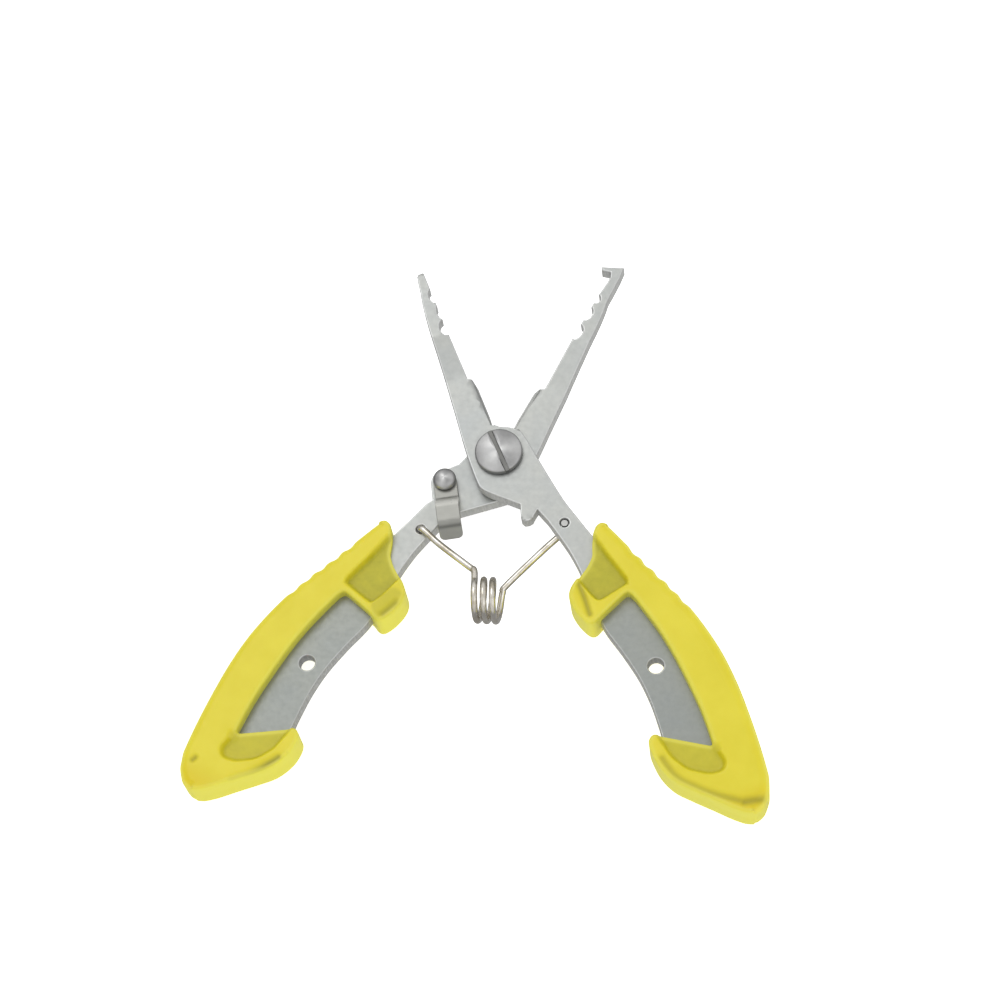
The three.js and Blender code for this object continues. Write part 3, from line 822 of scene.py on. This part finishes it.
def half_piece(side, settings, material):
    """One steel half: flat sheet, joggled jaw, bevelled cutter, notches, holes and a worn arris."""
    holes = [
        circle((0, 0), SCREW_BORE, 72), circle(WIRE_HOLE[side], WIRE_BORE, 32),
        circle(LANYARD_HOLE[side], LANYARD_BORE, 40),
    ]
    if side == REAR:
        holes.append(circle(RIVET, RIVET_BORE, 32))
    inner = BLADE_LAP - BLADE_BEVEL
    low, high = BLADE_ROOT - 0.2, BLADE_TOP + 0.2
    crease = [(inner, low), (inner, (low + high) / 2), (inner, high)]
    edge = settings.edge_round / MM
    plan = Plan(outline_of_half(side), holes, [crease], rings=(edge * 0.3, edge, edge * 1.6), grid=1.1)
    x, y = plan.points.T
    shift = np.clip((y - JOGGLE[0]) / (JOGGLE[1] - JOGGLE[0]), 0, 1) * JAW_SHIFT * -side
    worn = quarter_round(plan.depth, edge)
    ground = np.clip((x - inner) / BLADE_BEVEL, 0, 1) * BLADE_GROUND * ((y > low) & (y < high))
    cut = np.maximum(worn, ground)
    above, below = (cut, worn) if side == FRONT else (worn, cut)
    base = BASE_Z[side]
    points, faces, source = slab(plan, base + PLATE + shift - above, base + shift + below, rows=2)
    # Marks for the painted shade on the sheared sides and the ground bevel, the painted highlight along the
    # arris, and the painted shade on the face between the grip's arms.
    marks = {
        "wall": np.maximum(plan.depth < ON_EDGE, np.clip(ground, 0, 1) * 0.8)[source],
        "arris": np.clip(1 - np.abs(plan.depth - edge * 0.6) / edge, 0, 1)[source],
        "grip_shade": rising(y, *GRIP_SHADE)[source],
    }
    body = BODY[side]
    piece = mesh_piece(
        f"{body}_plate", turned_out(points, side), faces, material, marks, flip=side == REAR, sharp=50)
    settled(piece, body, "plate_steel", f"{body}_half")


# Grips

def grip_outline(scallop, offset):
    """A grip's outline with scallops along its outer edge and its window moved by the offset."""
    outer = spline(GRIP_OUTER, 0.35)
    outward = tangents(outer)[:, ::-1] * (1, -1)
    y = outer[:, 1]
    top, foot = SCALLOPS
    ribs = (0.5 - 0.5 * np.cos((y - top) / SCALLOP_PITCH * 2 * math.pi)) * ((y < top) & (y > foot))
    outer = outer - outward * (scallop * ribs)[:, None]
    loop = np.vstack([
        GRIP_TOP, spline(GRIP_LUG, 0.35), GRIP_LUG_FOOT, spline(GRIP_WINDOW, 0.35) + offset,
        spline(np.vstack([np.array(GRIP_CLIP_TOP) + offset, GRIP_CLIP]), 0.35), GRIP_END, outer,
    ])
    return relaxed(divided(loop, 0.35), 5)


def sunk_mask(points, polygon, soft):
    """1 inside the polygon, falling to 0 outside it across a soft edge."""
    loop = relaxed(divided(np.array(polygon, float), 0.4), 6)
    signed = reach(points, loop) * np.where(within(points, loop), 1, -1)
    return rising(signed, -soft / 2, soft / 2)


def furrow(points, line, width):
    """1 along a line, falling smoothly to 0 about `width` away."""
    return np.exp(-(reach(points, spline(line, 0.6), closed=False) / width) ** 2)


def grip_piece(side, settings, material):
    """One moulded grip: rounded outer band, sunk panels, thumb scallops, grooves and dimples."""
    offset = np.array(GRIP_SET[side])
    outline = grip_outline(settings.scallop_depth / MM, offset)
    plan = Plan(outline, rings=(0.06, 0.22, 0.45, 0.7, 1.0, 1.35, 1.7), grid=0.3)
    points = plan.points
    outer_gap = reach(points, np.vstack([GRIP_END, spline(GRIP_OUTER, 1.0), GRIP_TOP[:1]]), closed=False)
    radius = np.where(outer_gap < plan.depth + 0.5, settings.edge_round / MM, settings.window_round / MM)
    upper = sunk_mask(points - offset, UPPER_PANEL, 0.7)
    lower = sunk_mask(points - offset, LOWER_PANEL, 0.9)
    cloud = sunk_mask(points, LUG_BLOCK, 0.8) * LUG_CLOUD[side]
    shaded_groove = np.max([furrow(points, line, width) * share for line, width, share in GROOVES[side]], axis=0)
    panel = np.maximum(upper, lower * 0.85) * settings.panel_depth / MM
    relief = np.maximum(quarter_round(plan.depth, radius), panel)
    top = GRIP_HALF_HEIGHT - (relief + shaded_groove * GROOVE_DEPTH)
    made, faces, source = slab(plan, top, relief - GRIP_HALF_HEIGHT, rows=5)
    on_top = np.arange(len(made)) < len(points)
    # Marks for the painted shade at the groove bottoms and the painted highlight just inside the edges.
    marks = {
        "sunk": np.max([upper, lower * 0.7, cloud], axis=0)[source],
        "shaded_groove": np.where(on_top, shaded_groove[source], 0),
        "tip": rising(points[:, 1], *GRIP_TIP)[source],
        "rim": np.exp(-((plan.depth - 0.35) / 0.3) ** 2)[source],
        "side": np.where(plan.depth < 0.05, 1.0, np.exp(-plan.depth / 0.35))[source],
    }
    made[:, 2] += BASE_Z[side] + PLATE / 2
    body = BODY[side]
    piece = mesh_piece(
        f"{body}_handle_grip", turned_out(made, side), faces, material, marks, flip=side == REAR)
    settled(piece, body, "grip_plastic", f"{body}_grip")


# Screw, nut, clasp and rivet

def screw_head(settings, material):
    """The slotted head: a low dome with an eased rim and a milled slot, on its shank."""
    seat = FRONT_Z + PLATE + PLAY
    half = settings.slot_width / MM / 2
    across = np.array([math.cos(SLOT_ANGLE), math.sin(SLOT_ANGLE)])
    along = np.array([-across[1], across[0]])
    angles = list(np.radians(np.arange(0, 360, 2.5)))
    creases = []
    for offset in (half, half - SLOT_WALL, -half, SLOT_WALL - half):
        reach_along = math.sqrt(SCREW_HEAD ** 2 - offset ** 2)
        ends = [across * offset + along * reach_along * k for k in (-1, 1)]
        creases.append([ends[0], across * offset, ends[1]])
        angles += [math.atan2(p[1], p[0]) % (2 * math.pi) for p in ends]
    angles = np.array(sorted(set(np.round(angles, 6))))
    outline = SCREW_HEAD * np.column_stack([np.cos(angles), np.sin(angles)])
    for crease in creases:
        for k in (0, 2):
            crease[k] = outline[np.argmin(((outline - crease[k]) ** 2).sum(1))]
    plan = Plan(outline, creases=creases, rings=(0.04, 0.1, 0.18, 0.28, 0.4), grid=0.35)
    x, y = plan.points.T
    dome = SCREW_RIM + SCREW_CROWN * (1 - (x * x + y * y) / SCREW_HEAD ** 2) - quarter_round(plan.depth, 0.3)
    in_slot = np.abs(plan.points @ across) < half - SLOT_EDGE
    top = seat + np.where(in_slot, SCREW_RIM - settings.slot_depth / MM, dome)
    points, faces, source = slab(plan, top, np.full(len(top), seat), rows=3)
    # The slot and the head's side take painted shade.
    wall = np.where(in_slot, 1.0, np.where(plan.depth < ON_EDGE, 0.6, 0.0))[source]
    piece = mesh_piece("pivot_screw_head", points, faces, material, {"wall": wall}, sharp=45)
    settled(piece, "rear", "turned_steel", "pivot_screw")
    foot = REAR_Z - NUT_PLAY
    stem = eased([
        (0, SCREW_TAIL_Z), (SCREW_TAIL, SCREW_TAIL_Z), (SCREW_TAIL, foot), (SCREW_SHANK, foot),
        (SCREW_SHANK, seat), (0, seat),
    ], 0.1, 2)
    points, faces = lathe(stem)
    # The whole shank takes painted shade.
    shank = mesh_piece("pivot_screw_shank", points, faces, material, {"wall": np.ones(len(points))}, sharp=45)
    settled(shank, "rear", "turned_steel", "pivot_screw")


def nut_piece(material):
    """The thin nut with two spanner flats, from the frame's own solid with its edges eased."""
    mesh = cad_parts["pivot_nut"].data.copy()
    work = bmesh.new()
    work.from_mesh(mesh)
    bmesh.ops.remove_doubles(work, verts=work.verts, dist=1e-6)
    bmesh.ops.dissolve_limit(work, angle_limit=math.radians(1), verts=work.verts, edges=work.edges)
    corners = [e for e in work.edges if len(e.link_faces) == 2 and e.calc_face_angle(0) > math.radians(25)]
    bmesh.ops.bevel(work, geom=corners, offset=NUT_EDGE * MM, segments=2, affect="EDGES", clamp_overlap=True)
    points = np.array([v.co[:] for v in work.verts]) / MM
    faces = [tuple(v.index for v in f.verts) for f in work.faces]
    work.free()
    piece = mesh_piece("pivot_nut_body", points, faces, material, {"wall": np.zeros(len(points))}, sharp=40)
    settled(piece, "rear", "turned_steel", "pivot_nut")


def clasp_piece(settings, material):
    """The bent clasp, unrolled as a strip and laid along its folded side view."""
    sheet = settings.sheet / MM
    low = REAR_Z + PLATE + PLAY + sheet / 2
    high = FRONT_Z + PLATE + PLAY + sheet / 2
    fold = [(-CLASP_HALF, low), (4.0, low), (5.6, high), (10.0, high), (11.55, low + 0.15)]
    side = eased(fold, settings.bend / MM * 1.3, 8)
    steps = np.concatenate([[0], np.cumsum(np.linalg.norm(np.diff(side, axis=0), axis=1))])
    length, half, corner = steps[-1], CLASP_HALF, CLASP_CORNER
    outline = np.vstack([
        arc((half, 0), (half, half), 90, 270, 28), [(length - corner, -half), (length, -half + corner)],
        [(length, half - corner), (length - corner, half)],
    ])
    outline = relaxed(divided(outline, 0.3), 2)
    plan = Plan(outline, [circle((half, 0), RIVET_BORE, 32)], rings=(0.04, 0.1, 0.16), grid=0.28)
    worn = quarter_round(plan.depth, 0.1)
    made, faces, source = slab(plan, sheet / 2 - worn, worn - sheet / 2, rows=2)
    along, across, height = made.T
    u, w, tu, tw = (np.interp(along, steps, v) for v in (*side.T, *tangents(side).T))
    bent = np.column_stack([u - tw * height, across, w + tu * height])
    s = plan.points[:, 0]
    rise, crown, drop = (steps[np.argmin(np.linalg.norm(side - p, axis=1))] for p in fold[1:4])
    crest = rising(s, rise - 0.2, rise + 0.3) * rising(s, crown + 0.9, crown + 0.3)
    # Marks for the crest's painted highlight, the lower bend's painted shade and the turned-down end's
    # painted light.
    marks = {
        "crest": crest[source],
        "fold": np.exp(-((s - drop - 0.35) / 0.3) ** 2)[source] * 0.7,
        "flange": rising(s, drop, drop + 0.6)[source],
    }
    placed = turned(bent, CLASP_ANGLE + REST[REAR], at_rest(RIVET, REAR))
    piece = mesh_piece("clasp_tongue", placed, faces, material, marks, sharp=50)
    settled(piece, "latch", "clasp_steel", "lock_latch")


def rivet_piece(sheet, material):
    """The clasp's rivet: a domed head over the sheet, a shank and a low tail."""
    seat = REAR_Z + PLATE + PLAY + sheet + PLAY
    back = REAR_Z - PLAY
    head, tail = RIVET_HEAD[0], RIVET_TAIL[0]
    profile = np.vstack([
        arc((0, back - 0.2), RIVET_TAIL, -90, 0, 8),
        [(tail, back), (RIVET_SHANK, back), (RIVET_SHANK, seat), (head - 0.15, seat)],
        arc((0, seat + 0.25), RIVET_HEAD, 0, 90, 14),
    ])
    points, faces = lathe(profile, at_rest(RIVET, REAR))
    rivet = mesh_piece("clasp_rivet", points, faces, material, {"wall": np.zeros(len(points))}, sharp=50)
    settled(rivet, "rear", "turned_steel", "latch_rivet")


# Spring

def wire_tree(material):
    """Geometry Nodes that wrap a wire round a line of points."""
    tree = bpy.data.node_groups.new("Wire Along Path", "GeometryNodeTree")
    tree.interface.new_socket("Geometry", in_out="INPUT", socket_type="NodeSocketGeometry")
    tree.interface.new_socket("Geometry", in_out="OUTPUT", socket_type="NodeSocketGeometry")
    radius = tree.interface.new_socket("Wire Radius", in_out="INPUT", socket_type="NodeSocketFloat")
    radius.subtype = "DISTANCE"
    sides = tree.interface.new_socket("Sides", in_out="INPUT", socket_type="NodeSocketInt")

    def node(kind, **inputs):
        made = tree.nodes.new(kind)
        for name, value in inputs.items():
            name = name.replace("_", " ").title()
            if isinstance(value, bpy.types.NodeSocket):
                tree.links.new(value, made.inputs[name])
            else:
                made.inputs[name].default_value = value
        return made

    given = tree.nodes.new("NodeGroupInput")
    path = node("GeometryNodeMeshToCurve", mesh=given.outputs["Geometry"])
    ring = node("GeometryNodeCurvePrimitiveCircle", resolution=given.outputs["Sides"],
                radius=given.outputs["Wire Radius"])
    tube = node("GeometryNodeCurveToMesh", curve=path.outputs[0], profile_curve=ring.outputs["Curve"],
                fill_caps=True)
    smooth = node("GeometryNodeSetShadeSmooth", geometry=tube.outputs[0])
    real = node("GeometryNodeRealizeInstances", geometry=smooth.outputs[0])
    finish = node("GeometryNodeSetMaterial", geometry=real.outputs[0], material=material)
    end = tree.nodes.new("NodeGroupOutput")
    tree.links.new(finish.outputs[0], end.inputs[0])
    return tree, radius.identifier, sides.identifier


def wire_piece(name, path, settings, tree):
    """A plain mesh of the wire along the path, given in millimetres."""
    group, radius, sides = tree
    mesh = bpy.data.meshes.new(name + "_path")
    mesh.from_pydata((np.array(path) * MM).tolist(), [(i, i + 1) for i in range(len(path) - 1)], [])
    maker = linked(name + "_path", mesh)
    modifier = maker.modifiers.new("Wire", "NODES")
    modifier.node_group = group
    modifier[radius] = settings.wire_radius
    modifier[sides] = settings.sides
    graph = bpy.context.evaluated_depsgraph_get()
    made = bpy.data.meshes.new_from_object(maker.evaluated_get(graph), depsgraph=graph)
    bpy.data.objects.remove(maker)
    made.name = name
    piece = linked(name, made)
    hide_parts("return_spring")
    return piece


def spring_pieces(settings, material):
    """The wire out of the rear half, three turns between the handles and into the front half."""
    tree = wire_tree(material)
    r = settings.wire_radius / MM
    lx, ly = at_rest(WIRE_HOLE[REAR], REAR)
    rx, ry = at_rest(WIRE_HOLE[FRONT], FRONT)
    face = REAR_Z + PLATE + r + WIRE_PLAY
    back = FRONT_Z - r - WIRE_PLAY
    coil_radius, pitch = settings.coil_radius / MM, settings.pitch / MM
    turns = np.radians(COIL_TURNS)
    coil = np.column_stack([
        COIL_CENTRE[0] + COIL_LEFT + pitch * (np.degrees(turns) - 90) / 360,
        COIL_CENTRE[1] + coil_radius * np.cos(turns), FRONT_Z - PLAY / 2 + coil_radius * np.sin(turns),
    ])
    left = spline([
        (lx, ly, REAR_Z + 0.6), (lx, ly, face - 1.0), (lx + 0.2, ly - 0.14, face - 0.25),
        (lx + 1.0, ly - 0.72, face), (lx + 4.0, ly - 3.3, face + 0.1), (-4.0, -22.1, face + 0.85),
        (-2.95, -22.95, face + 1.25), coil[0], coil[2],
    ], 0.25)
    left = left[:1 + np.argmin(np.linalg.norm(left - coil[0], axis=1))]
    right = spline([
        coil[-3], coil[-1], (2.1, -25.2, 2.9), (2.75, -23.95, 3.3), (rx - 4.0, ry - 3.9, back - 0.8),
        (rx - 0.9, ry - 0.95, back - 0.1), (rx - 0.15, ry - 0.15, back + 0.3), (rx, ry, back + 1.0),
        (rx, ry, FRONT_Z + PLATE - 0.3),
    ], 0.25)
    right = right[np.argmin(np.linalg.norm(right - coil[-1], axis=1)):]
    left_leg = wire_piece("spring_left_leg", left, settings, tree)
    turns_piece = wire_piece("spring_coil", coil, settings, tree)
    right_leg = wire_piece("spring_right_leg", right, settings, tree)
    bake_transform(left_leg)
    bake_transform(turns_piece)
    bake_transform(right_leg)


# Stage

def facing(back, roll=0.0):
    """A rotation looking along -back, turned by `roll`."""
    right = Vector((-back.y, back.x, 0)).normalized()
    up = back.cross(right)
    turn_right = right * math.cos(roll) + up * math.sin(roll)
    turn_up = up * math.cos(roll) - right * math.sin(roll)
    return Matrix((turn_right, turn_up, back)).transposed().to_4x4()


def add_camera(settings):
    """The camera, looking down at the pivot from in front."""
    azimuth, elevation, roll = (math.radians(angle) for angle in (15.3, 65.5, -12))
    level = math.cos(elevation)
    back = Vector((math.sin(azimuth) * level, -math.cos(azimuth) * level, math.sin(elevation)))
    data = bpy.data.cameras.new("camera")
    data.lens = settings.lens
    data.sensor_width = 36
    data.shift_x = 0.001
    data.shift_y = -0.047
    camera = linked("camera", data)
    target = Vector((0, 0, FRONT_Z + PLATE)) * MM
    camera.matrix_world = Matrix.Translation(target + back * settings.distance) @ facing(back, roll)
    bpy.context.scene.camera = camera


def add_light(name, place, size, power):
    """A round light aimed at the middle of the pliers."""
    data = bpy.data.lights.new(name, "AREA")
    data.shape = "DISK"
    data.size = size
    data.energy = power
    place = Vector(place)
    linked(name, data).matrix_world = Matrix.Translation(place) @ facing((place - LIGHT_AIM).normalized())


def add_room(settings):
    """Even light from above that fades towards the ground."""
    world = bpy.data.worlds.new("room")
    room = Shader(world)
    height = room.node("ShaderNodeSeparateXYZ", {}, {
        0: room.node("ShaderNodeTexCoord", output="Generated")}, output="Z")
    ramp = room.node("ShaderNodeValToRGB", {}, {0: height * 0.5 + 0.5})
    elements = ramp.socket.node.color_ramp.elements
    for _ in ROOM_LEVELS[2:]:
        elements.new(0.5)
    for element, (position, level) in zip(elements, ROOM_LEVELS):
        element.position = position
        element.color = (level, level, level, 1)
    sky = room.node("ShaderNodeBackground", {}, {"Color": ramp, "Strength": settings.sky})
    room.end("ShaderNodeOutputWorld", sky)
    bpy.context.scene.world = world


def add_floor(settings):
    """A wide pale sheet just under the pliers, lit from within."""
    mesh = bpy.data.meshes.new("floor")
    corners = [(-1, -1), (1, -1), (1, 1), (-1, 1)]
    mesh.from_pydata([(x * FLOOR_HALF, y * FLOOR_HALF, FLOOR_Z) for x, y in corners], [], [(0, 1, 2, 3)])
    finish = Finish("floor_sheet")
    tone = finish.spread(finish.noise(60.0), 0.0, 1.0)
    colour = finish.mix(tone * 0.03, settings.floor, (0.9, 0.9, 0.9, 1.0))
    material = finish.shade(
        base_color=colour, roughness=0.9, emission_color=(1.0, 1.0, 1.0, 1.0),
        emission_strength=settings.glow)
    mesh.materials.append(material)
    floor = linked("floor", mesh)
    floor.visible_glossy = False


# Operators

class PLIERS_OT_halves(bpy.types.Operator):
    """Make the two steel halves"""
    bl_idname = "pliers.halves"
    bl_label = "Make Halves"

    def execute(self, context):
        settings = context.scene.pliers_halves
        material = plate_finish(settings)
        for side in (REAR, FRONT):
            half_piece(side, settings, material)
        return {"FINISHED"}


class PLIERS_OT_grips(bpy.types.Operator):
    """Make the two moulded grips"""
    bl_idname = "pliers.grips"
    bl_label = "Make Grips"

    def execute(self, context):
        settings = context.scene.pliers_grips
        material = grip_finish(settings)
        for side in (REAR, FRONT):
            grip_piece(side, settings, material)
        return {"FINISHED"}


class PLIERS_OT_screw(bpy.types.Operator):
    """Make the pivot screw and its nut"""
    bl_idname = "pliers.screw"
    bl_label = "Make Pivot Screw"

    def execute(self, context):
        settings = context.scene.pliers_screw
        material = turned_finish(settings, "turned_steel", (0, 0))
        screw_head(settings, material)
        nut_piece(material)
        return {"FINISHED"}


class PLIERS_OT_clasp(bpy.types.Operator):
    """Make the clasp and its rivet"""
    bl_idname = "pliers.clasp"
    bl_label = "Make Clasp"

    def execute(self, context):
        rivet = turned_finish(context.scene.pliers_screw, "rivet_steel", at_rest(RIVET, REAR))
        settings = context.scene.pliers_clasp
        clasp_piece(settings, clasp_finish(settings))
        rivet_piece(settings.sheet / MM, rivet)
        return {"FINISHED"}


class PLIERS_OT_spring(bpy.types.Operator):
    """Make the wire spring"""
    bl_idname = "pliers.spring"
    bl_label = "Make Spring"

    def execute(self, context):
        settings = context.scene.pliers_spring
        spring_pieces(settings, wire_finish(settings))
        return {"FINISHED"}


class PLIERS_OT_stage(bpy.types.Operator):
    """Make the floor, the lights and the camera"""
    bl_idname = "pliers.stage"
    bl_label = "Make Stage"

    def execute(self, context):
        settings = context.scene.pliers_stage
        add_camera(settings)
        add_floor(settings)
        add_room(settings)
        add_light("key", (-0.25, 0.35, 0.75), 0.5, settings.key)
        add_light("fill", (0.5, -0.35, 0.6), 0.6, settings.fill)
        context.scene.view_settings.view_transform = "Standard"
        return {"FINISHED"}


class PLIERS_PT_panel(bpy.types.Panel):
    """The sizes, colours and steps of the pliers"""
    bl_idname = "PLIERS_PT_panel"
    bl_label = "Fishing Pliers"
    bl_space_type = "VIEW_3D"
    bl_region_type = "UI"
    bl_category = "Pliers"

    def draw(self, context):
        for name, (_, operator) in STEPS.items():
            box = self.layout.box()
            box.operator(operator.bl_idname)
            settings = getattr(context.scene, name)
            for field in settings.__annotations__:
                box.prop(settings, field)


STEPS = {
    "pliers_stage": (StageSettings, PLIERS_OT_stage),
    "pliers_halves": (HalvesSettings, PLIERS_OT_halves),
    "pliers_grips": (GripSettings, PLIERS_OT_grips),
    "pliers_screw": (ScrewSettings, PLIERS_OT_screw),
    "pliers_clasp": (ClaspSettings, PLIERS_OT_clasp),
    "pliers_spring": (SpringSettings, PLIERS_OT_spring),
}


def register():
    for name, (settings, operator) in STEPS.items():
        bpy.utils.register_class(settings)
        setattr(bpy.types.Scene, name, bpy.props.PointerProperty(type=settings))
        bpy.utils.register_class(operator)
    bpy.utils.register_class(PLIERS_PT_panel)


def unregister():
    bpy.utils.unregister_class(PLIERS_PT_panel)
    for name, (settings, operator) in STEPS.items():
        bpy.utils.unregister_class(operator)
        delattr(bpy.types.Scene, name)
        bpy.utils.unregister_class(settings)


def main():
    register()
    bpy.ops.pliers.stage()
    bpy.ops.pliers.halves()
    bpy.ops.pliers.grips()
    bpy.ops.pliers.screw()
    bpy.ops.pliers.clasp()
    bpy.ops.pliers.spring()


if __name__ == "__main__":
    main()
